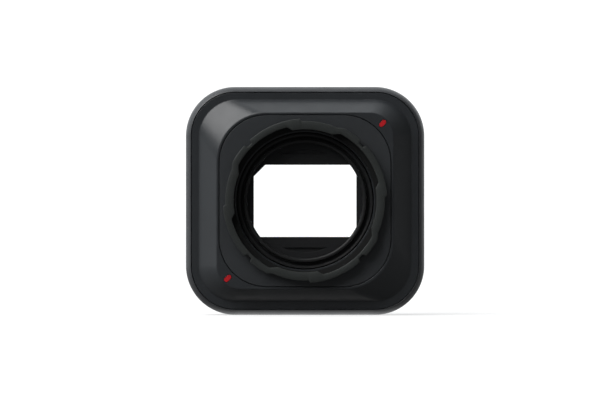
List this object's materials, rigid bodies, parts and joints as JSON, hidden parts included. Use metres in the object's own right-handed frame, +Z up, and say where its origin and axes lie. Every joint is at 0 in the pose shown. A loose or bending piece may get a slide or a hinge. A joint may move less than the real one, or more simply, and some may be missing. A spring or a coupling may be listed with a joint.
{
  "type": "bayonet conversion lens",
  "caption": "Rounded-square clip-on conversion lens for a compact action camera, with a bayonet ring, red index marks, a rectangular field mask and a domed front glass.",
  "frame": {"origin": "on the optical axis, in the face of the mount panel that meets the camera, inside the bayonet ring's bore", "axes": "the optical axis runs along Y, with the camera side facing -Y and the scene side facing +Y; +Z is up as the lens stands on its flat lower side, and +X is to the right as the camera side is seen"},
  "size_m": [0.05, 0.0242, 0.0478],
  "materials": {
    "casing_plastic": "moulded glass-fibre-filled polycarbonate, fine matt texture",
    "cover_plastic": "moulded polycarbonate, fine matt texture, smooth flank",
    "panel_plastic": "flat moulded polycarbonate plate, fine matt texture",
    "ring_plastic": "fibre-filled nylon, machined-looking matt faces with crisp edges",
    "mark_enamel": "red enamel filled into a recess",
    "seal_rubber": "black silicone rubber, slightly satin",
    "anodised_aluminium": "black anodised turned aluminium, fine lathe marks",
    "mask_plastic": "matt black moulded light baffle",
    "coated_glass": "polished optical glass with an anti-reflection coating",
    "adhesive_film": "thin acrylic adhesive pads",
    "screw_steel": "small stainless socket screws"
  },
  "bodies": {
    "root": {"front_shell": "casing_plastic", "rear_cover": "cover_plastic", "mount_panel": "panel_plastic", "panel_adhesive": "adhesive_film", "bayonet_ring": "ring_plastic", "index_mark_upper": "mark_enamel", "index_mark_lower": "mark_enamel", "mount_seal": "seal_rubber", "lens_barrel": "anodised_aluminium", "barrel_o_ring": "seal_rubber", "rear_retainer": "anodised_aluminium", "field_mask": "mask_plastic", "rear_element": "coated_glass", "rear_spacer": "anodised_aluminium", "doublet_crown": "coated_glass", "doublet_flint": "coated_glass", "middle_element": "coated_glass", "middle_retainer": "anodised_aluminium", "front_element": "coated_glass", "front_o_ring": "seal_rubber", "front_retainer": "anodised_aluminium", "front_trim": "anodised_aluminium", "body_gasket": "seal_rubber", "cover_screws": "screw_steel", "ring_screws": "screw_steel", "barrel_screws": "screw_steel"}
  },
  "joints": []
}
